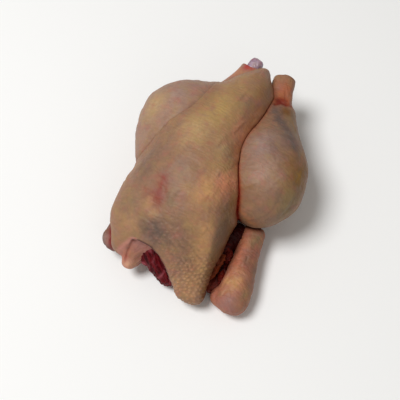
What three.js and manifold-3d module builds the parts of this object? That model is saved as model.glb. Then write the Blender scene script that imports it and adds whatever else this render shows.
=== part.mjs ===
// A whole raw chicken, plucked, drawn and with the head and feet off, lying on its back.
// The neck end points towards -Y, the tail towards +Y, and the breast is up, +Z. The bird's own right
// side is at +X. Millimetres, with the origin on the worktop under the middle of the bird's bounding box.
//
// Every part of the bird is flesh round a straight bone: a closed surface whose section is carried along
// the bone and swells or narrows at the stations given. The parts are then joined into one solid, the
// neck hole and the vent are cut into it, and its back is pressed flat where it lies on the worktop.
import * as THREE from "three";
import { mergeVertices } from "three/addons/utils/BufferGeometryUtils.js";
import Module from "manifold-3d";

const wasm = await Module();
wasm.setup();

// Driving dimensions.
const TRUNK_LENGTH = 252; // from the cut neck to the tip of the breast
const TRUNK_HEIGHT = 112; // from the worktop to the top of the breast
const SHOULDER_WIDTH = 126; // across the front of the breast
const LEG_THICK = 82; // through the folded thigh and drumstick at the fullest place
const SHANK_THICK = 25;
const WING_THICK = 24;
const MIDDLE = [-1.62, 7.05]; // moves the middle of the bounding box over the origin, in X and Y

// Smooth value at x of the curve through the stations: a cubic between each two of them, whose slope at
// a station is that of the line between its neighbours.
function between(stations, column, x) {
  const last = stations.length - 1;
  const at = (i) => stations[i][0];
  const value = (i) => stations[i][column];
  const slope = (i) => {
    const a = Math.max(i - 1, 0);
    const b = Math.min(i + 1, last);
    return (value(b) - value(a)) / (at(b) - at(a));
  };
  let i = 0;
  while (i < last - 1 && x > at(i + 1)) i += 1;
  const step = at(i + 1) - at(i);
  const t = (x - at(i)) / step;
  return (
    value(i) * (1 + 2 * t) * (1 - t) ** 2 +
    slope(i) * step * t * (1 - t) ** 2 +
    value(i + 1) * t ** 2 * (3 - 2 * t) +
    slope(i + 1) * step * t ** 2 * (t - 1)
  );
}

// A closed surface round a bone. Each station is [share of the bone, reach to the bird's right, to its
// left, up, down]. A section is a superellipse of that reach, with its own power (2 is an ellipse), and
// the ends are rounded over the two cap lengths.
function flesh({ from, to, stations, caps, power = 2.1, around = 32, along = 24 }) {
  const start = new THREE.Vector3(...from);
  const bone = new THREE.Vector3(...to).sub(start);
  const length = bone.length();
  const forward = bone.clone().normalize();
  const side = new THREE.Vector3().crossVectors(forward, new THREE.Vector3(0, 0, 1)).normalize();
  const up = new THREE.Vector3().crossVectors(side, forward);
  const roundEnd = (distance, cap) => {
    const t = Math.min(Math.max(1 - distance / cap, 0), 1);
    return Math.sqrt(1 - t * t);
  };
  const positions = [];
  const point = (distance, radius, turn) =>
    start
      .clone()
      .addScaledVector(forward, distance)
      .addScaledVector(side, radius * Math.cos(turn))
      .addScaledVector(up, radius * Math.sin(turn))
      .toArray();
  positions.push(...point(0, 0, 0));
  for (let j = 1; j < along; j += 1) {
    const distance = (length * (1 - Math.cos((Math.PI * j) / along))) / 2;
    const share = distance / length;
    const [right, left, top, bottom] = [1, 2, 3, 4].map((column) => between(stations, column, share));
    const ends = roundEnd(distance, caps[0]) * roundEnd(length - distance, caps[1]);
    for (let i = 0; i < around; i += 1) {
      const turn = (2 * Math.PI * i) / around;
      const across = Math.abs(Math.cos(turn)) / (Math.cos(turn) > 0 ? right : left);
      const upright = Math.abs(Math.sin(turn)) / (Math.sin(turn) > 0 ? top : bottom);
      const radius = (across ** power + upright ** power) ** (-1 / power) * ends;
      positions.push(...point(distance, radius, turn));
    }
  }
  positions.push(...point(length, 0, 0));
  const vertex = (j, i) => 1 + (j - 1) * around + (i % around);
  const tip = positions.length / 3 - 1;
  const faces = [];
  for (let i = 0; i < around; i += 1) {
    faces.push(0, vertex(1, i), vertex(1, i + 1));
    faces.push(tip, vertex(along - 1, i + 1), vertex(along - 1, i));
    for (let j = 1; j < along - 1; j += 1) {
      const [a, b, c, d] = [vertex(j, i), vertex(j, i + 1), vertex(j + 1, i + 1), vertex(j + 1, i)];
      faces.push(a, c, b, a, d, c);
    }
  }
  const geometry = new THREE.BufferGeometry();
  geometry.setAttribute("position", new THREE.Float32BufferAttribute(positions, 3));
  geometry.setIndex(faces);
  return geometry;
}

function solid(geometry) {
  const bare = geometry.clone().deleteAttribute("normal").deleteAttribute("uv");
  const merged = mergeVertices(bare, 1e-4);
  return new wasm.Manifold(
    new wasm.Mesh({
      numProp: 3,
      vertProperties: merged.attributes.position.array,
      triVerts: new Uint32Array(merged.index.array),
    }),
  );
}

// Trunk: back, ribs and the long breast, widest at the shoulders and narrowing to the tip of the keel.
function trunk() {
  const neck = [-6, -138, 38];
  const half = SHOULDER_WIDTH / 2;
  const back = TRUNK_HEIGHT / 2;
  return flesh({
    from: neck,
    to: [8, neck[1] + TRUNK_LENGTH, 72],
    stations: [
      [0.0, half - 33, half - 10, 14, 30],
      [0.12, half - 15, half - 3, 33, back - 15],
      [0.25, half - 6, half + 3, 49, back - 7],
      [0.42, half - 10, half + 8, back + 2, back],
      [0.58, half - 21, half - 2, back - 4, back + 3],
      [0.75, half - 34, half - 25, 38, back + 4],
      [0.9, half - 42, half - 39, 24, back - 8],
      [1.0, half - 48, half - 46, 16, 30],
    ],
    caps: [38, 22],
    around: 56,
    along: 36,
  });
}

// The slack skin of the neck, a tongue that hangs off the right shoulder down to the worktop.
function neckSkin() {
  return flesh({
    from: [10, -46, 80],
    to: [55, -139, 10],
    stations: [
      [0, 40, 42, 16, 24],
      [0.3, 42, 37, 22, 24],
      [0.6, 32, 26, 23, 20],
      [0.85, 20, 16, 17, 14],
      [1, 14, 12, 12, 10],
    ],
    caps: [26, 12],
    around: 30,
    along: 18,
  });
}

// The left shoulder's corner of skin, and the skin rolled under beside it at the edge of the neck hole.
function skinCorner() {
  return flesh({
    from: [-42, -106, 44],
    to: [-37, -134, 25],
    stations: [
      [0, 16, 16, 16, 16],
      [1, 12, 12, 12, 12],
    ],
    caps: [8, 10],
    around: 20,
    along: 10,
  });
}

function skinRoll() {
  return flesh({
    from: [-25, -118, 54],
    to: [-21, -139, 15],
    stations: [
      [0, 10, 10, 9, 9],
      [0.6, 10, 10, 9, 9],
      [1, 11, 11, 10, 10],
    ],
    caps: [8, 9],
    around: 18,
    along: 12,
  });
}

// The neck hole, cut between the roll and the tongue of skin, and the flesh of the neck showing in it.
function neckHole() {
  return flesh({
    from: [-18, -126, 58],
    to: [24, -140, 0],
    stations: [
      [0, 26, 12, 9, 9],
      [0.5, 26, 14, 13, 13],
      [1, 26, 14, 13, 13],
    ],
    caps: [9, 9],
    around: 24,
    along: 14,
  });
}

function neckFlesh() {
  return flesh({
    from: [-8, -100, 48],
    to: [20, -127, 9],
    stations: [
      [0, 12, 12, 14, 14],
      [0.5, 12, 12, 16, 16],
      [1, 13, 12, 15, 15],
    ],
    caps: [8, 9],
    around: 20,
    along: 12,
  });
}

// Leg: thigh and drumstick folded side by side in one teardrop of skin, the knee forwards. It bulges
// outwards by `bulge` over half the thickness at the knee, and at a quarter, half and three quarters.
function leg({ hand, knee, ankle, bulge }) {
  const full = LEG_THICK / 2;
  const sides = (outer, inner) => (hand > 0 ? [outer, inner] : [inner, outer]);
  return flesh({
    from: knee,
    to: ankle,
    stations: [
      [0, ...sides(full + bulge[0], full - 6), full + bulge[0], full],
      [0.25, ...sides(full + bulge[1], full), full + bulge[1] - 2, full + 4],
      [0.5, ...sides(full + bulge[2], full), full + bulge[2] - 4, full + 1],
      [0.75, ...sides(full + bulge[3], full - 11), full + bulge[3] - 2, full - 9],
      [1, 14, 14, 14, 14],
    ],
    caps: [40, 6],
    power: 2,
    around: 36,
    along: 22,
  });
}

// The underside of the thigh, from beside the knee back to the hip. `hand` is 1 on the bird's right.
function thigh(hand) {
  return flesh({
    from: [hand * 60, -36, 34],
    to: [hand * 36, 74, 34],
    stations: [
      [0, 24, 24, 24, 30],
      [0.5, 34, 34, 28, 32],
      [1, 24, 24, 24, 28],
    ],
    caps: [24, 24],
    around: 26,
    along: 14,
  });
}

// The thin end of the drumstick, out to the joint where the foot was cut off.
function shank(from, to) {
  const thick = SHANK_THICK / 2;
  return flesh({
    from,
    to,
    stations: [
      [0, thick + 8, thick + 8, thick + 6, thick + 8],
      [0.35, thick + 2, thick + 2, thick + 1, thick + 2],
      [0.7, thick - 1, thick - 1, thick - 1, thick - 1],
      [1, thick + 1, thick + 1, thick, thick],
    ],
    caps: [14, 6],
    power: 2.3,
    around: 22,
    along: 12,
  });
}

// Wing: the upper arm runs from the shoulder back to the elbow and the forearm forwards to the wrist.
// The right wing is let out, and its thumb and the web of skin in front of the shoulder show.
function upperArm(shoulder, elbow) {
  const half = WING_THICK / 2;
  return flesh({
    from: shoulder,
    to: elbow,
    stations: [
      [0, half + 4, half + 4, half + 4, half + 4],
      [1, half, half, half, half],
    ],
    caps: [11, 13],
    around: 18,
    along: 10,
  });
}

function forearm(elbow, wrist) {
  const half = WING_THICK / 2;
  return flesh({
    from: elbow,
    to: wrist,
    stations: [
      [0, half + 1, half + 1, half, half],
      [0.35, half + 1, half + 1, half, half],
      [0.7, half + 4, half + 4, half + 2, half + 2],
      [1, half + 3, half + 3, half + 3, half + 2],
    ],
    caps: [11, 13],
    around: 22,
    along: 14,
  });
}

function thumb() {
  return flesh({
    from: [80, -98, 12],
    to: [69, -128, 10],
    stations: [
      [0, 9, 9, 9, 9],
      [1, 10, 10, 9, 9],
    ],
    caps: [9, 9],
    around: 18,
    along: 10,
  });
}

function wingWeb() {
  return flesh({
    from: [38, -86, 15],
    to: [80, -108, 9],
    stations: [
      [0, 22, 14, 9, 8],
      [1, 18, 14, 8, 7],
    ],
    caps: [11, 13],
    around: 18,
    along: 10,
  });
}

// The tail's fat stub, and the vent above it, cut open to draw the bird.
function tail() {
  return flesh({
    from: [4, 84, 30],
    to: [6, 130, 30],
    stations: [
      [0, 28, 28, 14, 16],
      [0.5, 21, 21, 11, 11],
      [1, 9, 9, 8, 8],
    ],
    caps: [8, 10],
    around: 24,
    along: 12,
  });
}

function vent() {
  return flesh({
    from: [4, 70, 46],
    to: [5, 132, 50],
    stations: [
      [0, 16, 16, 8, 8],
      [1, 20, 20, 10, 9],
    ],
    caps: [12, 6],
    around: 20,
    along: 10,
  });
}

const skin = [
  trunk(),
  neckSkin(),
  skinCorner(),
  skinRoll(),
  leg({ hand: 1, knee: [70, -48, 56], ankle: [31, 92, 56], bulge: [-5, 2, 2, -11] }),
  leg({ hand: -1, knee: [-61, -48, 55], ankle: [-36, 77, 55], bulge: [-12, -1, 11, 1] }),
  thigh(1),
  thigh(-1),
  shank([35, 66, 55], [19, 127, 60]),
  shank([-32, 58, 52], [-16, 127, 64]),
  upperArm([46, -92, 20], [69, -34, 20]),
  forearm([69, -34, 22], [90, -132, 15]),
  thumb(),
  wingWeb(),
  upperArm([-44, -96, 34], [-50, -30, 26]),
  forearm([-50, -30, 26], [-51, -130, 27]),
  tail(),
];
const worktop = new THREE.BoxGeometry(600, 600, 100).translate(0, 0, -50);

const bird = skin
  .map(solid)
  .reduce((whole, part) => whole.add(part))
  .subtract(solid(neckHole()))
  .add(solid(neckFlesh()))
  .subtract(solid(vent()))
  .subtract(solid(worktop));

const { vertProperties, triVerts } = bird.getMesh();
const geometry = new THREE.BufferGeometry();
geometry.setAttribute("position", new THREE.BufferAttribute(vertProperties, 3));
geometry.setIndex(new THREE.BufferAttribute(triVerts, 1));
geometry.translate(MIDDLE[0], MIDDLE[1], 0);
geometry.computeVertexNormals();

const chicken = new THREE.Mesh(
  geometry,
  new THREE.MeshStandardMaterial({ color: 0xb99676, roughness: 0.45, metalness: 0 }),
);
chicken.name = "chicken";

const group = new THREE.Group();
group.add(chicken);
export default group;
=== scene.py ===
import math

import bpy
import numpy as np
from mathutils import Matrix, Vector


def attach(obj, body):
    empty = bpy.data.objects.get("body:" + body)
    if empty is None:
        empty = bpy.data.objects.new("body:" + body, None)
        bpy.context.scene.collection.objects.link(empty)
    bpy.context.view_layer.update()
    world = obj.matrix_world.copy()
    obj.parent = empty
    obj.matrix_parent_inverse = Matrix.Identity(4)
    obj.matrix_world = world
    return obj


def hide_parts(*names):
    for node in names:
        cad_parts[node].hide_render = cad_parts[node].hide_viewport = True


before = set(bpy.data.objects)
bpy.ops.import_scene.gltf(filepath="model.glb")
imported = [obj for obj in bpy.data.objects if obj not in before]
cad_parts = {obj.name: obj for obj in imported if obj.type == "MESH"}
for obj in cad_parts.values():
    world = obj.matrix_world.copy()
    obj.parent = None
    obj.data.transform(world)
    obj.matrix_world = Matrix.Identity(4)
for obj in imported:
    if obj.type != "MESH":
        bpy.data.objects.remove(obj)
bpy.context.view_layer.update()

# ---------------------------------------------------------------------------------------------------
# Worktop, light and camera. The bird lies on a pale matt worktop, under one large soft lamp over its
# left shoulder, with white walls all round. The camera looks down on its neck end.

WORKTOP_SIDE = 6.0
WORKTOP_COLOUR = (0.90, 0.92, 0.95)
LOOKED_AT = (0.0066, -0.0407, 0.045)
CAMERA_DISTANCE = 0.682
CAMERA_AZIMUTH = math.radians(30.3)
CAMERA_ELEVATION = math.radians(63.1)
LENS = 58.7  # millimetres, before a sensor 36 mm wide
SENSOR = 36
WALL_LIGHT = 0.31


def srgb(red, green, blue):
    """Linear light of a colour as it is seen: the sRGB curve undone."""
    seen = np.array([red, green, blue], float)
    return np.where(seen <= 0.04045, seen / 12.92, ((seen + 0.055) / 1.055) ** 2.4)


def aimed(item, place, target):
    """Stands a lamp or camera at a place, its -Z axis towards the target."""
    item.location = place
    toward = Vector(target) - Vector(place)
    item.rotation_euler = toward.to_track_quat("-Z", "Y").to_euler()
    bpy.context.scene.collection.objects.link(item)
    return item


def lamp(name, place, across, watts, colour):
    """A round soft lamp, aimed at the middle of the bird."""
    data = bpy.data.lights.new(name, "AREA")
    data.shape = "DISK"
    data.size = across
    data.energy = watts
    data.color = colour
    return aimed(bpy.data.objects.new(name, data), place, LOOKED_AT)


flat = math.cos(CAMERA_ELEVATION) * CAMERA_DISTANCE
eye = (
    LOOKED_AT[0] + math.sin(CAMERA_AZIMUTH) * flat,
    LOOKED_AT[1] - math.cos(CAMERA_AZIMUTH) * flat,
    LOOKED_AT[2] + math.sin(CAMERA_ELEVATION) * CAMERA_DISTANCE,
)
lens = bpy.data.cameras.new("camera")
lens.lens = LENS
lens.sensor_width = SENSOR
bpy.context.scene.camera = aimed(bpy.data.objects.new("camera", lens), eye, LOOKED_AT)

lamp("key", (-0.88, -0.62, 2.3), 1.1, 50, (1.0, 0.985, 0.95))
lamp("fill", (1.5, -1.3, 1.2), 1.6, 3, (1.0, 0.95, 0.88))

surroundings = bpy.data.worlds.new("white walls")
surroundings.use_nodes = True
surroundings.node_tree.nodes["Background"].inputs["Color"].default_value = (1, 0.95, 0.87, 1)
surroundings.node_tree.nodes["Background"].inputs["Strength"].default_value = WALL_LIGHT
bpy.context.scene.world = surroundings
bpy.context.scene.view_settings.view_transform = "Standard"

half_side = WORKTOP_SIDE / 2
sheet = bpy.data.meshes.new("worktop")
corners = [(-half_side, -half_side, 0), (half_side, -half_side, 0)]
corners += [(half_side, half_side, 0), (-half_side, half_side, 0)]
sheet.from_pydata(corners, [], [(0, 1, 2, 3)])
worktop = bpy.data.objects.new("worktop", sheet)
bpy.context.scene.collection.objects.link(worktop)
stone = bpy.data.materials.new("worktop")
stone.use_nodes = True
stone.node_tree.nodes["Principled BSDF"].inputs["Base Color"].default_value = (*WORKTOP_COLOUR, 1)
stone.node_tree.nodes["Principled BSDF"].inputs["Roughness"].default_value = 0.8
worktop.data.materials.append(stone)

# ---------------------------------------------------------------------------------------------------
# Trunk: back, ribs and the long breast, with the slack skin of the neck hanging off its right shoulder
# and a roll of skin beside the open neck hole. It is one skin, so it is drawn as one surface: rays
# leave a line down the middle of the body and stop where they meet the flesh.

MIDDLE = np.array([-1.62, 7.05, 0.0])  # millimetres, from the bird's own frame to the worktop's
TRUNK_LENGTH = 252
HALF_TRUNK_HEIGHT = 56
HALF_SHOULDERS = 63

UPHILL = np.array([-0.450, 0.770, 0.452])  # up the slant of the neck end
FOLLICLE_SPACING = 4.9
FOLLICLE_HEIGHT = 0.85
WRINKLE_HEIGHT = 0.32
FOLD_DEPTH = 1.4  # between the roll of skin and the corner beside it
RIM_DEPTH = 1.2  # round the top of the neck hole


def flesh(start, end, stations, caps, power=2.1):
    """Flesh round a straight bone. Returns a function that tells how far points lie outside it.

    Each station is (share of the bone, reach to the right, left, up, down), and a cubic through the
    stations gives the reach between them. A point's share of the section's reach is the superellipse
    norm of its two offsets from the bone, and its share of an end is how far it is into the rounded
    cap. The surface is where the root of both squares' sum is 1."""
    start = np.array(start, float)
    bone = np.array(end, float) - start
    length = np.linalg.norm(bone)
    forward = bone / length
    side = np.cross(forward, (0, 0, 1))
    side /= np.linalg.norm(side)
    up = np.cross(side, forward)
    table = np.array(stations, float)
    at = table[:, 0]
    slopes = np.empty_like(table)
    slopes[1:-1] = (table[2:] - table[:-2]) / (at[2:] - at[:-2])[:, None]
    slopes[0] = (table[1] - table[0]) / (at[1] - at[0])
    slopes[-1] = (table[-1] - table[-2]) / (at[-1] - at[-2])
    shares = np.linspace(0, 1, 201)
    i = np.clip(np.searchsorted(at, shares, side="right") - 1, 0, len(at) - 2)
    step = (at[i + 1] - at[i])[:, None]
    t = ((shares - at[i])[:, None]) / step
    curves = (
        table[i] * (1 + 2 * t) * (1 - t) ** 2
        + slopes[i] * step * t * (1 - t) ** 2
        + table[i + 1] * t**2 * (3 - 2 * t)
        + slopes[i + 1] * step * t**2 * (t - 1)
    )

    def outside(points):
        local = points - start
        along = local @ forward
        across = local @ side
        upright = local @ up
        share = along / length
        right, left, top, bottom = (np.interp(share, shares, curves[:, k]) for k in (1, 2, 3, 4))
        wide = np.abs(across) / np.where(across > 0, right, left)
        high = np.abs(upright) / np.where(upright > 0, top, bottom)
        section = (wide**power + high**power) ** (1 / power)
        head = np.maximum(1 - along / caps[0], 0)
        tail = np.maximum(1 - (length - along) / caps[1], 0)
        ends = head**2 + tail**2
        whole = np.sqrt(section**2 + ends) + 1e-9
        reach = np.hypot(across, upright) / np.maximum(section, 1e-6)
        reach = np.where(section > 1e-6, reach, right)
        cap = np.where(head > tail, caps[0], caps[1])
        weight = ends / whole**2
        return (whole - 1) * (reach * (1 - weight) + cap * weight)

    return outside


def merged(first, second, soft):
    """The lesser of two distances, eased where they are within `soft`: flesh meeting in a fillet."""
    ease = np.maximum(soft - np.abs(first - second), 0) / soft
    return np.minimum(first, second) - ease**3 * soft / 6


def carved(body, hollow, soft):
    """A body's distance with a hollow cut from it, its edge eased over `soft`."""
    return -merged(-body, hollow, soft)


def spread(count, dense=()):
    """Numbers from 0 to 1, closer together round each (place, width, gain) of `dense`."""
    fine = np.linspace(0, 1, 2001)
    rate = np.ones_like(fine)
    for place, width, gain in dense:
        gap = np.abs(fine - place)
        rate += gain * np.exp(-((np.minimum(gap, 1 - gap) / width) ** 2))
    total = np.concatenate([[0], np.cumsum((rate[1:] + rate[:-1]) / 2)])
    return np.interp(np.linspace(0, total[-1], count), total, fine)


def skinned(outside, core, rings, turns, far=150.0, steps=30, pace=0.75):
    """Points of a closed skin, as rings of equal count and two poles.

    Rays leave the straight core square to it, and fan out round both of its ends. Each is followed
    inwards from `far`, by `pace` of the distance outside the flesh at each step, until that is nothing.
    `rings` are the rings in the first fan, along the core and in the last fan."""
    start, end = (np.array(p, float) for p in core)
    forward = (end - start) / np.linalg.norm(end - start)
    side = np.cross(forward, (0, 0, 1))
    side /= np.linalg.norm(side)
    up = np.cross(side, forward)
    first, middle, last = rings
    tilt = np.concatenate([first * np.pi / 2 - np.pi / 2, np.zeros(len(middle)), last * np.pi / 2])
    share = np.concatenate([np.zeros(len(first)), middle, np.ones(len(last))])
    turn = 2 * np.pi * turns[:-1]
    spoke = np.cos(turn)[:, None] * side + np.sin(turn)[:, None] * up
    rays = np.cos(tilt)[:, None, None] * spoke + np.sin(tilt)[:, None, None] * forward
    rays = np.concatenate([rays.reshape(-1, 3), [-forward, forward]])
    roots = start + share[:, None] * (end - start)
    roots = np.repeat(roots, len(turn), axis=0)
    roots = np.concatenate([roots, [start, end]])
    reach = np.full(len(rays), far)
    for _ in range(steps):
        reach = np.maximum(reach - pace * outside(roots + reach[:, None] * rays), 0.5)
    points = roots + reach[:, None] * rays
    return points, (len(share), len(turn))


def outward(points, shape):
    """Unit normals of such a skin: the cross product of the steps round a ring and between rings."""
    grid = points[:-2].reshape(*shape, 3)
    above = np.concatenate([grid[1:], np.broadcast_to(points[-1], (1, shape[1], 3))])
    below = np.concatenate([np.broadcast_to(points[-2], (1, shape[1], 3)), grid[:-1]])
    around = np.roll(grid, -1, axis=1) - np.roll(grid, 1, axis=1)
    normal = np.cross(above - below, around)
    normal /= np.linalg.norm(normal, axis=-1, keepdims=True) + 1e-12
    ends = np.stack([normal[0].mean(0), normal[-1].mean(0)])
    ends /= np.linalg.norm(ends, axis=1, keepdims=True)
    return np.concatenate([normal.reshape(-1, 3), ends])


def swell(points, size, seed):
    """Smooth uneven heights from -1 to 1: sines of about `size` across, each bent by the one before."""
    heights = np.zeros(len(points))
    bend = np.zeros(len(points))
    for k in range(5):
        turn = seed * 1.7 + k * 2.4
        way = np.array([math.cos(turn), math.sin(turn), math.cos(turn * 1.3 + k)])
        way *= 2 * math.pi / size / np.linalg.norm(way)
        bend = np.sin(points @ way * (1 + 0.23 * k) + 1.8 * bend + turn)
        heights += bend / 5
    return heights * 1.6


def near(points, place, size):
    """1 at a place and fading to nothing over a size that may differ along X, Y and Z."""
    return np.exp(-((((points - np.array(place)) / np.array(size)) ** 2).sum(1)))


def line_gap(points, knots):
    """Distance from points to a line of straight pieces through knots."""
    knots = np.array(knots, float)
    least = np.full(len(points), 1e9)
    for start, end in zip(knots[:-1], knots[1:]):
        way = end - start
        share = np.clip(((points - start) @ way) / (way @ way), 0, 1)
        least = np.minimum(least, np.linalg.norm(points - start - share[:, None] * way, axis=1))
    return least


def folds(points, distance, spacing, seed):
    """Heights from -1 to 1 of soft folds along lines of equal `distance`, wandering by a third of it."""
    wander = swell(points, spacing * 5, seed) * 0.4 * spacing
    wander += swell(points, spacing * 2.2, seed + 3) * 0.1 * spacing
    return np.cos((distance + wander) * 2 * np.pi / spacing)


def wandered(points, seed):
    """The points moved about by up to 5 mm, so that marks laid on them get uneven edges."""
    broad = np.stack([swell(points, 26, seed + k) for k in range(3)], axis=1)
    fine = np.stack([swell(points, 9, seed + 3 + k) for k in range(3)], axis=1)
    return points + broad * 2.2 + fine * 1.4


def painted(colour, weight, other):
    """A colour field mixed towards another colour by a weight from 0 to 1."""
    weight = np.clip(weight, 0, 1)[:, None]
    return colour * (1 - weight) + np.asarray(other) * weight


def marked(tint, place, marks):
    """A colour field with soft marks on it, each (place or line, size, weight, colour)."""
    for where, size, weight, colour in marks:
        if np.ndim(where) == 1:
            share = near(place, where, size)
        else:
            share = np.exp(-((line_gap(place, where) / size) ** 2))
        tint = painted(tint, weight * share, colour)
    return tint


def surface(name, points, shape, tint, material, coarse=0.5):
    """A mesh of such a skin, riding on the body. The attribute "tint" holds its colours, and in alpha
    how coarse it is."""
    rows, cols = shape
    index = np.arange(rows * cols).reshape(rows, cols)
    after = np.roll(index, -1, axis=1)
    quads = np.stack([index[:-1], index[1:], after[1:], after[:-1]], axis=-1).reshape(-1, 4)
    first = np.full(cols, rows * cols)
    head = np.stack([first, index[0], after[0]], axis=1)
    foot = np.stack([first + 1, after[-1], index[-1]], axis=1)
    mesh = bpy.data.meshes.new(name)
    faces = quads.tolist() + head.tolist() + foot.tolist()
    mesh.from_pydata(((points + MIDDLE) * 0.001).tolist(), [], faces)
    mesh.polygons.foreach_set("use_smooth", np.ones(len(faces), bool))
    colours = mesh.attributes.new("tint", "FLOAT_COLOR", "POINT")
    coarse = np.broadcast_to(coarse, len(tint))
    colours.data.foreach_set("color", np.column_stack([tint, coarse]).ravel())
    mesh.materials.append(material)
    piece = bpy.data.objects.new(name, mesh)
    bpy.context.scene.collection.objects.link(piece)
    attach(piece, "root")
    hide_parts("chicken")
    return piece


def pressed(piece, outside, swollen, depth, width, line, painted_shading, reach):
    """Presses a crease into a finished skin where it meets other flesh.

    The skin swells by `swollen` and takes a painted tint of light and shade over `reach` beside the other
    flesh, and sinks by `depth` into a line of painted shade within `width` of it, both of which grow
    towards the shoulders."""
    mesh = piece.data
    flat = np.empty(len(mesh.vertices) * 3)
    mesh.vertices.foreach_get("co", flat)
    points = flat.reshape(-1, 3) * 1000 - MIDDLE
    mesh.vertex_normals.foreach_get("vector", flat)
    normals = flat.reshape(-1, 3).copy()
    gap = np.abs(outside(points))
    grown = np.clip((-5 - points[:, 1]) / 40, 0, 1)
    width = width * (1 + 0.8 * grown)
    depth = depth * (1 + 0.5 * grown)
    rise = swollen * np.exp(-((gap / reach) ** 2)) - depth * np.exp(-((gap / width) ** 2))
    points += normals * rise[:, None]
    points[:, 2] = np.maximum(points[:, 2], 0)
    mesh.vertices.foreach_set("co", ((points + MIDDLE) * 0.001).ravel())
    colours = np.empty(len(mesh.vertices) * 4)
    mesh.attributes["tint"].data.foreach_get("color", colours)
    colours = colours.reshape(-1, 4)
    tint = painted(colours[:, :3], 0.75 * np.exp(-((gap / reach) ** 2)), painted_shading)
    colours[:, :3] = painted(tint, np.exp(-((gap / (width * 0.55)) ** 2)), line)
    mesh.attributes["tint"].data.foreach_set("color", colours.ravel())
    mesh.update()


def goose_bumps(across, along, spacing, seed):
    """Heights from 0 to 1 of small mounds on an uneven triangle lattice, from the nearest mounds."""

    def uneven(row, column, rates, gain):
        """Fractions from -0.275 to 0.275 that look random: what follows the point of a large sine."""
        large = np.sin(row * rates[0] + column * rates[1] + seed) * gain
        return (large - np.floor(large) - 0.5) * 0.55

    row = np.round(along / (spacing * 0.87))
    best = np.full(across.shape, 1e9)
    for k in (-1, 0, 1):
        this = row + k
        shift = np.where(this % 2 == 0, 0.0, 0.5)
        column = np.round(across / spacing - shift)
        for m in (-1, 0, 1):
            cell = column + m
            wander_x = uneven(this, cell, (12.9898, 78.233), 43758.5453)
            wander_y = uneven(this, cell, (39.3468, 11.135), 24634.6345)
            gap_x = across - (cell + shift + wander_x) * spacing
            gap_y = along - (this + wander_y) * spacing * 0.87
            best = np.minimum(best, gap_x**2 + gap_y**2)
    return np.exp(-best / (0.33 * spacing) ** 2)


class Socket:
    """A shader socket whose sums and products add Math nodes."""

    def __init__(self, tree, socket):
        self.tree = tree
        self.socket = socket

    def math(self, operation, first, second=None):
        node = self.tree.nodes.new("ShaderNodeMath")
        node.operation = operation
        for slot, value in zip(node.inputs, (first, second)):
            if isinstance(value, Socket):
                self.tree.links.new(value.socket, slot)
            elif value is not None:
                slot.default_value = value
        return Socket(self.tree, node.outputs[0])

    def __add__(self, other):
        return self.math("ADD", self, other)

    def __radd__(self, other):
        return self.math("ADD", other, self)

    def __sub__(self, other):
        return self.math("SUBTRACT", self, other)

    def __rsub__(self, other):
        return self.math("SUBTRACT", other, self)

    def __mul__(self, other):
        return self.math("MULTIPLY", self, other)

    def __rmul__(self, other):
        return self.math("MULTIPLY", other, self)


class Shader:
    """A new material's node tree, and the one method that adds any node to it."""

    def __init__(self, name):
        self.material = bpy.data.materials.new(name)
        self.material.use_nodes = True
        self.tree = self.material.node_tree
        self.principled = self.tree.nodes["Principled BSDF"]

    def node(self, kind, settings=None, sockets=None, output=0):
        node = self.tree.nodes.new("ShaderNode" + kind)
        for key, value in (settings or {}).items():
            setattr(node, key, value)
        self.feed(node, sockets or {})
        return Socket(self.tree, node.outputs[output])

    def feed(self, node, sockets):
        for key, value in sockets.items():
            if isinstance(value, Socket):
                self.tree.links.new(value.socket, node.inputs[key])
            else:
                node.inputs[key].default_value = value

    def colours(self, factor, first, second, blend="MIX"):
        settings = {"data_type": "RGBA", "blend_type": blend}
        return self.node("Mix", settings, {0: factor, 6: first, 7: second}, output=2)


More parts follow.
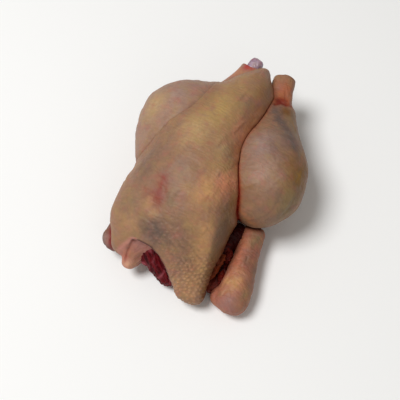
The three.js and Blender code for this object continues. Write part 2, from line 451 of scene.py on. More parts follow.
def skin_finish(name, bump_size, roughness, wet, gloss=0.35):
    """Damp raw skin: the painted tint, mottled in colour and depth, over rows of pores and wrinkles.

    The pores are the nearest-cell distances of a Voronoi pattern, drawn out across the body into rows.
    The tint's alpha says how coarse the skin is at each place, and blood red places aren't mottled."""
    red_blotch = (0.36, 0.12, 0.095, 1)
    yellow_blotch = (0.33, 0.22, 0.08, 1)
    mauve_blotch = (0.235, 0.135, 0.125, 1)
    shader = Shader(name)
    place = shader.node("TexCoord", output=3)
    tint = shader.node("Attribute", {"attribute_name": "tint"})
    coarse = shader.node("Attribute", {"attribute_name": "tint"}, output=3)

    def noise(scale, detail):
        return shader.node("TexNoise", {}, {"Vector": place, "Scale": scale, "Detail": detail})

    broad = noise(42.0, 3.0)
    patchy = noise(150.0, 3.0)
    grain = noise(700.0, 2.0)
    ochre = noise(84.0, 3.0)
    rosy = noise(116.0, 3.0)
    wander = shader.node("TexNoise", {}, {"Vector": place, "Scale": 70.0, "Detail": 2.0}, output=1)
    wander = shader.node("VectorMath", {"operation": "SCALE"}, {0: wander, "Scale": 0.012})
    bent = shader.node("VectorMath", {"operation": "ADD"}, {0: place, 1: wander})
    drawn = shader.node("VectorMath", {"operation": "MULTIPLY"}, {0: bent, 1: (0.6, 1.15, 1.0)})
    cells = {"Vector": drawn, "Scale": 1 / bump_size, "Randomness": 0.6}
    pores = shader.node("TexVoronoi", {}, cells)
    wave = {"Vector": bent, "Scale": 0.314 / (bump_size * 1.3)}
    wave.update({"Distortion": 3.0, "Detail": 1.0, "Detail Scale": 2.0})
    rows = shader.node("TexWave", {"bands_direction": "Y"}, wave, output=1)

    # Heights and tones share the pores and the noise, so that what is low gets painted shade as well.
    relief = (0.5 - pores) * (0.5 + coarse * 0.5) + rows * 0.25
    shade = 0.72 + broad * 0.16 + patchy * 0.30 + grain * 0.20 + relief * (0.15 + coarse * 0.13)
    grey = shader.node("CombineColor", {}, {"Red": shade, "Green": shade, "Blue": shade})
    colour = shader.colours(1.0, tint, grey, "MULTIPLY")
    fair = shader.node("SeparateColor", {}, {"Color": tint}, output=1) * 7.0
    fair = fair.math("MINIMUM", fair, 1.0)
    colour = shader.colours((rosy - 0.5) * 1.9 * fair, colour, red_blotch)
    colour = shader.colours((ochre - 0.5) * 1.5 * fair, colour, yellow_blotch)
    colour = shader.colours((0.48 - ochre) * 1.5 * fair, colour, mauve_blotch)
    height = relief * (0.6 + coarse * 0.8) + grain * 0.12 + patchy * 0.3
    bump = shader.node("Bump", {}, {"Height": height, "Strength": 0.6, "Distance": 0.0006})
    shader.feed(
        shader.principled,
        {
            "Base Color": colour,
            "Roughness": roughness + patchy * 0.16 - broad * 0.06,
            "Normal": bump,
            "Subsurface Weight": 0.2,
            "Subsurface Radius": (1.0, 0.42, 0.25),
            "Subsurface Scale": 0.0035,
            "Specular IOR Level": gloss,
            "Coat Weight": wet,
            "Coat Roughness": 0.3,
            "IOR": 1.42,
        },
    )
    shader.principled.subsurface_method = "RANDOM_WALK"
    return shader.material


def mixed(first, second, share):
    """A colour between two others: a share of the second in the first, in linear light."""
    return first * (1 - share) + second * share


# What gives the bird its colours, from which every tone of its skin is mixed.
SKIN = srgb(0.56, 0.42, 0.32)
FAT = srgb(0.68, 0.57, 0.34)  # yellow fat under thin skin
ROSE = srgb(0.78, 0.52, 0.40)  # thick pink skin
MILK = srgb(0.72, 0.62, 0.58)  # pale tissue under the skin
BLOOD = srgb(0.58, 0.10, 0.05)
STAIN = srgb(0.46, 0.31, 0.05)  # dried yellow brown
SHADE = srgb(0.18, 0.21, 0.25)  # dark flesh, or a hollow, under thin skin
# Painted shade deep in creases and under the rim of the neck hole.
CREASE_SHADE = srgb(0.22, 0.07, 0.04)
CRIMSON = srgb(0.38, 0.03, 0.07)

PALE = mixed(SKIN, FAT, 0.4)
YELLOW = mixed(SKIN, FAT, 0.7)
CREAM = mixed(YELLOW, MILK, 0.2)
GOLD = mixed(ROSE, FAT, 0.6)
OLIVE = mixed(SHADE, FAT, 0.4)
ORANGE = mixed(ROSE, STAIN, 0.5)
AMBER = mixed(ORANGE, BLOOD, 0.35)
RUST = mixed(SKIN, STAIN, 0.6)
PEARL = mixed(SKIN, MILK, 0.5)
MAUVE = mixed(mixed(MILK, SHADE, 0.3), CRIMSON, 0.15)
BROWN = mixed(SKIN, SHADE, 0.25)
DUSKY = mixed(SKIN, SHADE, 0.5)
SLATE = mixed(SKIN, SHADE, 0.7)
PLUM = mixed(DUSKY, CRIMSON, 0.25)
BRUISE = mixed(PLUM, BLOOD, 0.45)

trunk = flesh(
    (-6, -138, 38),
    (0, TRUNK_LENGTH - 138, 74),
    [
        (0.0, HALF_SHOULDERS - 33, HALF_SHOULDERS - 10, 14, 30),
        (0.12, HALF_SHOULDERS - 15, HALF_SHOULDERS - 3, 33, HALF_TRUNK_HEIGHT - 15),
        (0.25, HALF_SHOULDERS + 3, HALF_SHOULDERS + 1, 49, HALF_TRUNK_HEIGHT - 7),
        (0.42, HALF_SHOULDERS - 7, HALF_SHOULDERS - 3, HALF_TRUNK_HEIGHT + 2, HALF_TRUNK_HEIGHT),
        (0.58, HALF_SHOULDERS - 31, HALF_SHOULDERS - 1, HALF_TRUNK_HEIGHT - 3, HALF_TRUNK_HEIGHT + 3),
        (0.75, HALF_SHOULDERS - 37, HALF_SHOULDERS - 18, 39, HALF_TRUNK_HEIGHT + 4),
        (0.9, HALF_SHOULDERS - 43, HALF_SHOULDERS - 39, 25, HALF_TRUNK_HEIGHT - 8),
        (1.0, HALF_SHOULDERS - 56, HALF_SHOULDERS - 52, 15, 30),
    ],
    (38, 30),
)
neck_skin = flesh(
    (10, -46, 80),
    (55, -139, 10),
    [
        (0, 40, 42, 16, 24),
        (0.3, 42, 33, 22, 24),
        (0.6, 32, 21, 23, 20),
        (0.85, 23, 13, 17, 14),
        (1, 17, 12, 12, 10),
    ],
    (26, 12),
)
skin_corner = flesh(
    (-39.5, -105, 44),
    (-35, -134, 26),
    [(0, 14, 14, 16, 16), (1, 12, 12, 12, 12)],
    (8, 10),
)
skin_roll = flesh(
    (-31, -119, 51),
    (-22.5, -141, 17),
    [(0, 7, 7, 7, 7), (0.6, 7.5, 7, 7.5, 7.5), (1, 9, 8, 8, 8)],
    (5, 8),
)
membrane = flesh((-26, -118, 46), (-18, -136, 18), [(0, 6, 6, 6, 6), (1, 6, 6, 6, 6)], (5, 7))
neck_opening = flesh((-15, -150, -6), (8, -189, 83), [(0, 41, 41, 53, 53), (1, 41, 41, 53, 53)], (25, 9))
vent = flesh((4, 70, 46), (5, 132, 50), [(0, 16, 16, 8, 8), (1, 20, 20, 10, 9)], (12, 6))
tail = flesh(
    (4, 84, 30),
    (6, 130, 30),
    [(0, 28, 28, 14, 16), (0.5, 21, 21, 11, 11), (1, 9, 9, 8, 8)],
    (8, 10),
)

# The neck skin's right side is turned down from its edge: a point of that side, and square off it.
TURNED = np.array([54.6, -84.0, 41.0])
TURNED_FACE = np.array([0.984, 0.075, 0.16])

HOLE_SIDE = np.array([0.5, -0.8, 0.3])  # square off the membrane down the left of the neck hole
HOLE_SIDE_PLACE = 105  # how far out that way it lies


def neck_hole(points):
    """The neck hole: a round opening, square off the slanting end, that ends at a sloping membrane."""
    return np.maximum(neck_opening(points), HOLE_SIDE_PLACE - points @ HOLE_SIDE)


def trunk_skin(points):
    """Trunk, neck skin, corner and roll of skin merged, less the neck hole and the vent."""
    whole = merged(trunk(points), neck_skin(points), 36)
    face = (points - TURNED) @ TURNED_FACE - 0.2 * np.maximum(points[:, 1] + 64, 0)
    whole = carved(whole, -face, 8 + 0.5 * np.clip(points[:, 1] + 92, 0, 30))
    whole = merged(whole, skin_corner(points), 22)
    whole = merged(whole, tail(points), 18)
    whole = carved(whole, neck_hole(points), 3)
    whole = merged(whole, membrane(points), 3)
    whole = merged(whole, skin_roll(points), 3)
    whole = carved(whole, vent(points), 8)
    return np.maximum(whole, -points[:, 2])


rings = (spread(151)[1:-1], spread(92), spread(30)[1:-1])
turns = spread(361, [(0.03, 0.13, 2.2)])
points, shape = skinned(trunk_skin, [(4, -94, 42), (7, 86, 64)], rings, turns)
normal = outward(points, shape)

# Relief: follicles on the hanging skin, wrinkles above the neck hole and on the flap, slow swellings,
# and deep lines round the hole and beside the roll of skin.
low_flap = np.clip((70 - points[:, 2]) / 18, 0, 1) * np.clip((points[:, 0] - 14) / 16, 0, 1)
low_flap *= np.clip((-84 - points[:, 1]) / 22, 0, 1) * np.clip(normal[:, 2] * 2 + 1.2, 0, 1)
mounds = goose_bumps(points @ np.array([0.9, 0.435, 0]), points @ UPHILL * 1.25, FOLLICLE_SPACING, 3)
dappled = low_flap + 0.7 * near(points, (-2, -113, 74), (20, 12, 14))
dappled += 0.4 * near(points, (16, -122, 60), (14, 10, 12)) * (1 - low_flap)
height = dappled * (mounds * FOLLICLE_HEIGHT - 0.3)
hole_top = [(-22, -122, 60), (-7, -123, 63), (3, -124, 62), (13, -128, 56), (28, -135, 35)]
from_rim = line_gap(points, hole_top)
wrinkles = 0.7 * folds(points, from_rim, 6.8, 4) * near(points, (19, -113, 70), (18, 14, 17))
down_flap = points @ np.array([0.35, 0.85, 0.38])
wrinkles += folds(points, down_flap, 5.6, 6) * near(points, (38, -116, 59), (15, 11, 13))
height += WRINKLE_HEIGHT * wrinkles
height += swell(points, 40, 2) * 0.5 + swell(points, 14, 5) * 0.05
notch = (-23.3, -125.6, 55.7)  # where the fold and the rim meet
fold = line_gap(points, [notch, (-26.3, -132.5, 43.4), (-26.4, -137.1, 37), (-26.3, -141, 28)])
rim = line_gap(points, [notch, (-15.5, -125.5, 58), (-8.4, -125, 59), (-3, -124.5, 61)])
height -= FOLD_DEPTH * np.exp(-((fold / 1.3) ** 2)) + RIM_DEPTH * np.exp(-((rim / 1.2) ** 2))
points = points + normal * height[:, None]
points[:, 2] = np.maximum(points[:, 2], 0)

# Colours: broad marks first, then the turned down side, which is browner and streaked and ends low
# down in a torn, reddish edge.
trunk_marks = (
    ((-46, -58, 92), (15, 26, 18), 0.85, DUSKY),  # left flank
    ((-12, 24, 108), (20, 32, 18), 0.9, YELLOW),  # over the keel
    ((-20, -12, 110), (18, 20, 16), 0.8, CREAM),
    ((-14, -58, 105), (22, 20, 20), 0.8, BROWN),
    ((-14, 68, 97), (12, 18, 14), 0.8, PALE),  # point of the breast
    ((14, 74, 93), (8, 24, 16), 0.75, RUST),
    # An orange band along the breast beside the right leg: partly the skin's own colour, partly painted
    # warm shade.
    (((18, 60, 90), (21, 34, 91), (23, 14, 93), (27, -6, 94), (33, -20, 93)), 9, 0.9, ORANGE),
    ((34, -40, 97), (13, 15, 14), 0.95, ROSE),  # coarse skin by the right knee
    ((16, -14, 106), (8, 18, 12), 0.8, CREAM),
    ((22, -62, 101), (12, 14, 12), 0.85, GOLD),
    ((48, -52, 78), (11, 16, 14), 0.95, RUST),
    # Painted shade in the hollow beside the bruise.
    ((-6, -85, 95), (9, 12, 10), 0.8, DUSKY),
    ((22, -29, 105), (9, 15, 10), 0.7, PALE),
    ((15, 15, 100), (8, 14, 12), 0.7, ROSE),
    ((-41, -19, 102), (8, 22, 14), 0.7, BROWN),  # painted shade in the valley beside the left crease
    ((9, 50, 102), (9, 22, 12), 0.35, OLIVE),
    ((24, -92, 88), (12, 8, 10), 0.7, PALE),
    ((-31, -112, 70), (10, 8, 12), 0.7, GOLD),
    (((-21, -69, 99), (-19, -76, 97), (-17, -84, 94), (-14, -91, 90)), 6, 0.95, BRUISE),
    (((-17, -84, 93), (-28, -87, 89)), 5, 0.6, BRUISE),
    ((-23, -92, 88), (5, 4, 5), 0.7, mixed(SKIN, ROSE, 0.3)),
    ((-15, -98, 85), (12, 7, 10), 0.5, GOLD),
    ((-4, -111, 75), (24, 16, 16), 0.9, SLATE),  # over the neck hole
    (((12, -98, 85), (22, -106, 79), (30, -118, 67)), 11, 0.85, BROWN),
    (((40, -86, 80), (44, -98, 73), (48, -112, 58)), 9, 0.7, GOLD),
    ((-44, -100, 76), (12, 14, 14), 0.6, OLIVE),
    ((46, -132, 38), (20, 14, 18), 0.35, GOLD),
    ((38, -46, 94), (10, 12, 11), 0.3, AMBER),
)
tint = np.tile(SKIN, (len(points), 1))
tint = marked(tint, wandered(points, 21), trunk_marks)
turned = np.clip(((points - TURNED) @ TURNED_FACE + 2.4) / 2.0, 0, 1)
turned *= np.clip((-46 - points[:, 1]) / 16, 0, 1)
turned *= np.clip(normal @ TURNED_FACE * 2.4 - 1.15, 0, 1)
tint = painted(tint, 0.85 * turned, mixed(BROWN, STAIN, 0.6))
# Slate grey on the upper part of the turned down side is painted shade, where it faces away from the lamp.
tint = painted(tint, 0.6 * turned * near(points, (57, -76, 60), (12, 16, 18)), SLATE)
tint = tint * (1 + 0.12 * turned * swell(points * (1, 0.12, 1), 9, 5))[:, None]
tear = [(55, -58, 34), (56, -84, 32), (56, -101, 27), (56, -117, 22), (56, -126, 18)]
torn_edge = line_gap(points, tear)
tint = painted(tint, 0.9 * np.exp(-((torn_edge / 7) ** 2)), srgb(0.47, 0.26, 0.14))
# Wrinkles are painted lighter on their crests and darker in their folds: painted light and shade.
tint = tint * (1 + dappled * (mounds * 0.36 - 0.14) + wrinkles * 0.13)[:, None]  # follicles are paler

# The neck hole's dark inside, the pink membrane down its left side, and the roll of skin beside it.
hollow = np.clip(1 - np.abs(neck_hole(points)) / 2.0, 0, 1)
# The inside of the hole is painted almost black red: dark flesh, darkened further by painted shade.
tint = painted(tint, hollow * (points @ HOLE_SIDE > HOLE_SIDE_PLACE + 1), srgb(0.24, 0.03, 0.03))
film = np.clip(1.6 - np.abs(points @ HOLE_SIDE - HOLE_SIDE_PLACE) / 2.0, 0, 1) * (neck_opening(points) < 2)
film = np.maximum(film, np.clip(1.6 - np.abs(membrane(points)) / 1.0, 0, 1) * (points[:, 1] < -116))
# The membrane is painted lighter than its own pink: painted light, as if the lamp shone through the thin
# skin.
tint = painted(tint, film, srgb(0.68, 0.47, 0.42))
tint = painted(tint, film * np.clip(swell(points * (1, 1, 0.5), 7, 4), 0, 1) * 0.7, srgb(0.62, 0.36, 0.32))
# Painted shade on the membrane's low right side, next to the neck flesh.
tint = painted(tint, 0.8 * near(points, (-15, -131, 26), (4, 6, 9)), srgb(0.44, 0.23, 0.19))
rolled = np.clip(1.6 - np.abs(skin_roll(points)) / 1.0, 0, 1) * (points[:, 1] < -117)
tint = painted(tint, rolled, srgb(0.68, 0.465, 0.39))
# A painted highlight on the front of the roll.
tint = painted(tint, 0.8 * near(points, (-23, -142, 31), (5, 6, 7)), srgb(0.80, 0.62, 0.52))
tint = painted(tint, 0.8 * near(points, (-27, -139, 38), (4, 5, 8)), srgb(0.62, 0.29, 0.24))
# Painted shadow along the rim of the neck hole.
tint = painted(tint, 0.95 * np.exp(-((rim / 2.6) ** 2)), CREASE_SHADE)
tint = painted(tint, 0.7 * np.exp(-((fold / 1.4) ** 2)), srgb(0.50, 0.25, 0.20))
coarse = 0.5 + 0.5 * near(points, (36, -40, 95), (18, 20, 20))
coarse += 0.5 * near(points, (20, -105, 80), (30, 30, 30))
coarse = coarse * (1 - 0.5 * low_flap) * (1 - film)

skin = skin_finish("skin", 0.0034, 0.5, 0.03)
trunk_piece = surface("trunk_skin", points, shape, tint, skin, coarse)

# ---------------------------------------------------------------------------------------------------
# Legs: each thigh and drumstick is folded in one teardrop of skin, tied close against the breast, and
# runs out to the thin shank, whose skin is cut round above the joint.

LEG_THICK = 82
SHANK_THICK = 25
HOCK_FOLD_DEPTH = 2.4
# A crease's line colour is painted shade down in the crease.
RIGHT_CREASE = {"swollen": 2.4, "depth": 1.9, "width": 2.3, "line": srgb(0.56, 0.13, 0.06)}
LEFT_CREASE = {"swollen": 4.2, "depth": 0.6, "width": 2.0, "line": srgb(0.50, 0.36, 0.27)}


def leg_flesh(hand, knee, ankle, bulge, inner, shank_start, shank_end, cut):
    """A leg's teardrop, thigh and shank merged. `bulge` and `inner` are how far it swells outwards and
    inwards, and `cut` how far short of the shank's end its skin stops."""
    full = LEG_THICK / 2
    thin = SHANK_THICK / 2

    def sides(outer, inner):
        return (outer, inner) if hand > 0 else (inner, outer)

    teardrop = flesh(
        knee,
        ankle,
        [
            (0, *sides(full + bulge[0], full - 6 + inner[0]), full + bulge[0], full),
            (0.25, *sides(full + bulge[1], full + inner[1]), full + bulge[1] - 2, full + 4),
            (0.5, *sides(full + bulge[2], full + inner[2]), full + bulge[2] - 4, full + 1),
            (0.75, *sides(full + bulge[3], full - 11 + inner[3]), full + bulge[3] - 2, full - 9),
            (1, 14, 14, 14, 14),
        ],
        (40, 6),
        power=2,
    )
    thigh = flesh(
        (hand * 60, -36, 34),
        (hand * 36, 74, 34),
        [(0, 24, 24, 24, 30), (0.5, 34, 34, 28, 32), (1, 24, 24, 24, 28)],
        (24, 24),
    )
    shank = flesh(
        shank_start,
        shank_end,
        [
            (0, thin + 8, thin + 8, thin + 6, thin + 8),
            (0.35, thin + 2, thin + 2, thin + 1, thin + 2),
            (0.7, thin, thin, thin, thin),
            (1, thin, thin + 0.5, thin, thin - 0.5),
        ],
        (14, 6),
        power=3.0,
    )
    end = np.array(shank_end, float)
    forward = (end - shank_start) / np.linalg.norm(end - shank_start)

    def outside(points):
        whole = merged(teardrop(points), thigh(points), 20)
        whole = merged(whole, shank(points), 14)
        whole = carved(whole, cut - (points - end) @ forward - 2 * cut, 4)
        return np.maximum(whole, -points[:, 2])

    return outside


right_leg = leg_flesh(
    hand=1,
    knee=(70, -48, 56),
    ankle=(31, 92, 56),
    bulge=(-5, 2, 2, -14),
    inner=(-3, -2, 1, 5),
    shank_start=(35, 66, 55),
    shank_end=(17.2, 127, 60),
    cut=1,
)
left_leg = leg_flesh(
    hand=-1,
    knee=(-61, -48, 55),
    ankle=(-36, 77, 55),
    bulge=(-12, -1, 11, 1),
    inner=(5, 3, -6, -6),
    shank_start=(-31, 58, 50),
    shank_end=(-15.5, 128, 66),
    cut=15,
)
hock_line = [(27, 80, 73), (31.7, 85.5, 72.2), (37.3, 86, 72.4), (42, 89, 68), (44, 91, 60)]

rings = (spread(60)[1:-1], spread(150), spread(36)[1:-1])
for name, outside, core, seed in (
    ("right_leg", right_leg, [(63, -22, 52), (21, 116, 59)], 4),
    ("left_leg", left_leg, [(-56, -22, 52), (-21, 102, 60)], 7),
):
    points, shape = skinned(outside, core, rings, spread(261))
    normal = outward(points, shape)
    height = swell(points, 38, seed) * 0.5 + swell(points, 14, seed) * 0.05
    if name == "right_leg":
        hock_fold = line_gap(points, hock_line)
        height -= HOCK_FOLD_DEPTH * np.exp(-((hock_fold / 2.0) ** 2))
    points = points + normal * height[:, None]
    points[:, 2] = np.maximum(points[:, 2], 0)
    place = wandered(points, 31)
    if name == "right_leg":
        tint = np.tile(mixed(SKIN, SHADE, 0.15), (len(points), 1))
        leg_marks = (
            (((28, 73, 76), (38, 65, 78), (50, 55, 83), (62, 43, 86), (72, 34, 87)), 10, 0.95, SLATE),
            ((46, 18, 95), (15, 20, 14), 0.9, MAUVE),
            # A pale painted highlight on the top of the thigh.
            ((57, 20, 95), (12, 14, 14), 0.55, PLUM),
            ((64, -12, 97), (14, 17, 14), 0.75, PEARL),
            ((91, 10, 80), (9, 22, 16), 0.95, STAIN),
            (((46, 80, 74), (58, 68, 75), (70, 54, 76)), 7, 0.6, OLIVE),
            ((92, -20, 72), (12, 16, 20), 0.8, OLIVE),
            ((54, -34, 86), (10, 12, 14), 0.5, RUST),
            ((80, 14, 88), (10, 20, 12), 0.45, STAIN),
            ((27, 104, 71), (14, 14, 14), 0.95, AMBER),  # shank
            # A painted orange glow of light along the lower edge of the knee, over its crease with the
            # wing.
            (((55, -46, 66), (64, -48, 58), (72, -47, 54)), 5, 0.8, ORANGE),
        )
    else:
        tint = np.tile(mixed(SKIN, MAUVE, 0.4), (len(points), 1))
        leg_marks = (
            ((-76, 6, 92), (13, 20, 18), 0.9, CREAM),
            ((-60, 22, 102), (14, 14, 14), 0.6, MAUVE),
            ((-46, 40, 100), (9, 7, 12), 0.8, mixed(MAUVE, BLOOD, 0.3)),
            (((-46, 10, 104), (-58, -8, 98)), 9, 0.4, PEARL),
            ((-28, 92, 76), (14, 12, 14), 0.9, mixed(ROSE, BLOOD, 0.3)),  # shank
        )
    tint = marked(tint, place, leg_marks)

    # The cut skin on the left shank is red. The right hock is bloodshot, its fold dark red and partly
    # painted shade.
    if name == "left_leg":
        cut_skin = np.clip((points[:, 1] - 101) / 6, 0, 1)
        cut_skin *= np.clip((points[:, 0] + 29) / 5, 0, 1)
        tint = painted(tint, 0.9 * cut_skin, srgb(0.64, 0.17, 0.18))
    else:
        tint = painted(tint, 0.9 * near(points, (42, 77, 74), (7, 7, 9)), srgb(0.43, 0.27, 0.11))
        tint = painted(tint, 0.9 * near(points, (33, 91, 71), (10, 6, 12)), srgb(0.58, 0.22, 0.09))
        tint = painted(tint, 0.97 * near(points, (28, 86, 72), (8, 6, 9)), srgb(0.38, 0.06, 0.01))
        tint = painted(tint, 0.95 * np.exp(-((hock_fold / 2.2) ** 2)), srgb(0.42, 0.08, 0.02))
        cut_end = np.clip((points[:, 1] - 121) / 4, 0, 1)
        tint = painted(tint, 0.8 * cut_end, srgb(0.42, 0.22, 0.17))
    leg = surface(name, points, shape, tint, skin)
    # Creases where each leg lies against the trunk: painted shade in them, painted light and shade beside
    # them.
    if name == "right_leg":
        pressed(leg, trunk_skin, painted_shading=srgb(0.55, 0.27, 0.15), reach=5, **RIGHT_CREASE)
        pressed(trunk_piece, right_leg, painted_shading=srgb(0.56, 0.29, 0.16), reach=7, **RIGHT_CREASE)
    else:
        pressed(leg, trunk_skin, painted_shading=srgb(0.56, 0.43, 0.35), reach=9, **LEFT_CREASE)
        pressed(trunk_piece, left_leg, painted_shading=srgb(0.55, 0.42, 0.33), reach=9, **LEFT_CREASE)

# ---------------------------------------------------------------------------------------------------
# Joints: the bluish white gristle on the end of each shank, where the foot came off. It is a spool
# across the bone on a short stem, and stands out of the cut skin of the left leg.

gristle = skin_finish("gristle", 0.004, 0.35, 0.3, 0.5)
rings = (spread(30)[1:-1], spread(30), spread(30)[1:-1])
for name, start, end, size in (
    ("right_joint", (23, 111, 59), (20, 121, 60), 7.5),
    ("left_joint", (-21, 103, 61), (-17.5, 120, 67.5), 9),
):
    start, end = np.array(start, float), np.array(end, float)
    forward = (end - start) / np.linalg.norm(end - start)
    side = np.cross(forward, (0, 0, 1))
    half = size * 0.95
    waist = size * 0.85
    spool = flesh(
        end - side * half,
        end + side * half,
        [(0, size, size, size, size), (0.5, waist, waist, waist, waist), (1, size, size, size, size)],
        (size * 0.8, size * 0.8),
    )
    stem = flesh(start, end, [(0, 7, 7, 7, 7), (1, 7, 7, 7, 7)], (3, 3))
    points, shape = skinned(
        lambda points: merged(spool(points), stem(points), 4), [start, end], rings, spread(91), far=40.0
    )
    normal = outward(points, shape)
    points = points + normal * (swell(points, 11, 3) * 0.35)[:, None]
    tint = np.tile(srgb(0.56, 0.46, 0.54), (len(points), 1))
    tint = painted(tint, 0.45 + 0.6 * swell(points, 9, 5), srgb(0.68, 0.60, 0.68))
    dark_end = near(points, end - side * size + (0, 0, 2), (5, 6, 6))
    tint = painted(tint, 0.8 * dark_end, srgb(0.42, 0.27, 0.36))
    surface(name, points, shape, tint, gristle)

# ---------------------------------------------------------------------------------------------------
# Wings: the forearm of the right wing is let out beside the neck skin, with its thumb lying inwards.
# The left wing is tucked in, upper arm and forearm side by side, and only its wrist shows.

HALF_WING = 12
WING_CREASE = {"swollen": 0, "depth": 0.6, "line": CREASE_SHADE}
forearm = [
    (0, HALF_WING + 1, HALF_WING + 1, HALF_WING, HALF_WING),
    (0.35, HALF_WING + 1, HALF_WING + 1, HALF_WING, HALF_WING),
    (0.7, HALF_WING + 4, HALF_WING + 5, HALF_WING + 2, HALF_WING + 2),
    (1, HALF_WING + 3, HALF_WING + 3, HALF_WING + 3, HALF_WING + 2),
]
thumb = flesh((80, -98, 12), (69, -128, 10), [(0, 9, 9, 9, 9), (1, 10, 10, 9, 9)], (9, 9))
right_forearm = flesh((69, -34, 22), (90, -132, 15), forearm, (11, 13))
left_forearm = flesh((-50, -30, 26), (-48.5, -136, 24), forearm, (11, 13))
left_arm = flesh(
    (-44, -96, 34),
    (-50, -30, 26),
    [
        (0, HALF_WING + 4, HALF_WING + 4, HALF_WING + 4, HALF_WING + 4),
        (1, HALF_WING, HALF_WING, HALF_WING, HALF_WING),
    ],
    (11, 13),
)


def right_wing(points):
    """Forearm and thumb merged, and level where they lie on the worktop."""
    return np.maximum(merged(right_forearm(points), thumb(points), 8), -points[:, 2])


def left_wing(points):
    """Forearm and upper arm merged, and level where they lie on the worktop."""
    return np.maximum(merged(left_forearm(points), left_arm(points), 8), -points[:, 2])


rings = (spread(40)[1:-1], spread(130), spread(50)[1:-1])
for name, outside, core, seed in (
    ("right_wing", right_wing, [(70, -40, 21), (88, -120, 15)], 11),
    ("left_wing", left_wing, [(-50, -40, 26), (-51, -120, 27)], 14),
):
    points, shape = skinned(outside, core, rings, spread(181), far=90.0)
    normal = outward(points, shape)
    points = points + normal * (swell(points, 20, seed) * 0.5 + swell(points, 8, seed) * 0.08)[:, None]
    points[:, 2] = np.maximum(points[:, 2], 0)
    place = wandered(points, 41)
    if name == "right_wing":
        tint = np.tile(mixed(ROSE, CRIMSON, 0.5), (len(points), 1))
        wing_marks = (
            (((68, -54, 32), (71, -68, 31), (74, -84, 30)), 6, 0.9, mixed(ROSE, BLOOD, 0.35)),
            ((78, -52, 31), (7, 16, 10), 0.9, OLIVE),
            ((83, -78, 31), (7, 13, 9), 0.8, PLUM),
            ((93, -84, 24), (6, 20, 10), 0.8, DUSKY),
            # A painted highlight on the knob of the wrist.
            ((80, -104, 30), (8, 12, 9), 0.8, GOLD),
            ((86, -126, 27), (13, 11, 13), 0.8, mixed(MILK, CRIMSON, 0.6)),
            ((97, -110, 25), (7, 14, 12), 0.7, OLIVE),
        )
    else:
        tint = np.tile(mixed(PLUM, CRIMSON, 0.15), (len(points), 1))
        wing_marks = (
            ((-62, -122, 34), (6, 14, 14), 0.5, PLUM),
            ((-56, -130, 34), (8, 8, 10), 0.6, MAUVE),
        )
    tint = marked(tint, place, wing_marks)
    wing = surface(name, points, shape, tint, skin)
    # Creases of the wing against the trunk and the leg: painted shade in them and beside them.
    if name == "right_wing":
        pressed(wing, trunk_skin, width=2.4, painted_shading=srgb(0.40, 0.16, 0.11), reach=5, **WING_CREASE)
        pressed(wing, right_leg, width=2.0, painted_shading=srgb(0.45, 0.22, 0.14), reach=4, **WING_CREASE)
        pressed(trunk_piece, right_wing, width=3.0, painted_shading=srgb(0.34, 0.17, 0.10), reach=6, **WING_CREASE)
    else:
        # The slit where the skin covers the tucked wing is painted dark red shade.
        tucked = {"swollen": 0, "depth": 1.5, "width": 3.0, "line": srgb(0.46, 0.05, 0.07)}
        pressed(wing, trunk_skin, painted_shading=srgb(0.52, 0.20, 0.19), reach=5, **tucked)

# ---------------------------------------------------------------------------------------------------
# Shoulder: what shows in the dark gap between the neck skin and the right wing, where the skin was
# torn: the upper arm low down, a web of wet red tissue and some brown bits of fat.

tissue = skin_finish("torn tissue", 0.0024, 0.45, 0.03, 0.2)
right_arm = flesh(
    (46, -92, 14),
    (60, -41, 20),
    [
        (0, HALF_WING, HALF_WING, HALF_WING, HALF_WING),
        (1, HALF_WING - 3, HALF_WING + 2, HALF_WING + 3, HALF_WING),
    ],
    (11, 13),
)
web = flesh((38, -86, 12), (78, -106, 9), [(0, 29, 14, 10, 8), (1, 19, 14, 8, 7)], (11, 13))


def torn(points):
    """Upper arm and web merged, and level where they lie on the worktop."""
    return np.maximum(merged(right_arm(points), web(points), 8), -points[:, 2])


rings = (spread(40)[1:-1], spread(90), spread(40)[1:-1])
points, shape = skinned(torn, [(52, -84, 9), (65, -42, 12)], rings, spread(161), far=70.0)
normal = outward(points, shape)
points = points + normal * (swell(points, 9, 3) * 1.1 + swell(points, 4, 6) * 0.3)[:, None]
points[:, 2] = np.maximum(points[:, 2], 0)
# The tissue is near black red: its own dark red, darkened further by painted shade in the deep gap.
tint = np.tile(srgb(0.19, 0.01, 0.01), (len(points), 1))
patches = swell(points, 8, 2) * np.clip((-62 - points[:, 1]) / 14, 0, 1)
tint = painted(tint, 0.9 * patches, srgb(0.44, 0.08, 0.03))
tint = painted(tint, 0.9 * near(points, (60, -118, 16), (10, 9, 12)), srgb(0.48, 0.17, 0.12))
surface("shoulder_tissue", points, shape, tint, tissue)

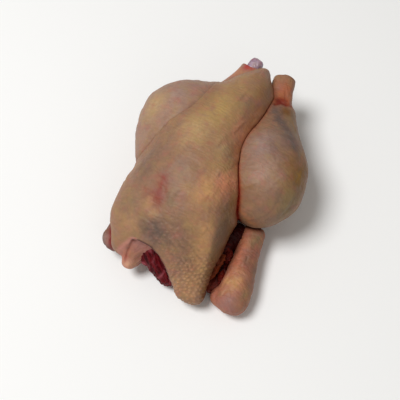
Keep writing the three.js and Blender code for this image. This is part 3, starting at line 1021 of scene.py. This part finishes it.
rings = (spread(16)[1:-1], spread(24), spread(16)[1:-1])
for name, start, end, size, colour in (
    ("fat_bit_1", (58, -82, 29), (57, -112, 24), 2.6, srgb(0.48, 0.20, 0.08)),
    ("fat_bit_2", (62, -86, 19), (60, -72, 25), 3.6, srgb(0.36, 0.06, 0.02)),
    ("fat_bit_3", (66, -108, 15), (64, -96, 20), 4.0, srgb(0.40, 0.08, 0.04)),
):
    lump = flesh(start, end, [(0, size, size, size, size), (1, size, size, size, size)], (5, 5))
    points, shape = skinned(lump, [start, end], rings, spread(61), far=25.0)
    normal = outward(points, shape)
    points = points + normal * (swell(points, 7, 5) * 1.5)[:, None]
    surface(name, points, shape, np.tile(colour, (len(points), 1)), tissue)

# ---------------------------------------------------------------------------------------------------
# Neck: the cut end of the neck, raw flesh that shows dark and wet in the hole between the skins.

neck_stump = flesh(
    (-12, -107, 38),
    (23, -130, 5),
    [(0, 17, 15, 12, 14), (0.35, 18, 14, 13, 14), (0.65, 14, 14, 13, 14), (1, 9, 12, 12, 12)],
    (8, 9),
)
neck_side = flesh((-13, -117, 32), (-9, -127, 17), [(0, 9, 9, 9, 9), (1, 8.5, 9, 9, 9)], (6, 6))


def neck(points):
    """The neck's stump and the flesh on its left side, merged."""
    return merged(neck_stump(points), neck_side(points), 4)


rings = (spread(30)[1:-1], spread(70), spread(30)[1:-1])
points, shape = skinned(neck, [(-7, -110, 34), (15, -127, 11)], rings, spread(141), far=60.0)
normal = outward(points, shape)
fibres = np.array([0.655, -0.43, -0.618])  # which way the flesh runs
streaked = points - 0.65 * (points @ fibres)[:, None] * fibres
lumps = swell(streaked, 8, 6) * 1.3 + swell(streaked, 3.6, 2) * 0.3
points = points + normal * lumps[:, None]
points[:, 2] = np.maximum(points[:, 2], 0)
tint = np.tile(CRIMSON, (len(points), 1))
tint = painted(tint, 0.45 + 0.8 * swell(streaked, 6, 8), srgb(0.21, 0.01, 0.03))
tint = painted(tint, 1.2 * swell(streaked, 8, 4) - 0.35, srgb(0.55, 0.23, 0.28))
raw_flesh = skin_finish("raw flesh", 0.0022, 0.45, 0.03, 0.2)
surface("neck_flesh", points, shape, tint, raw_flesh, -0.6)
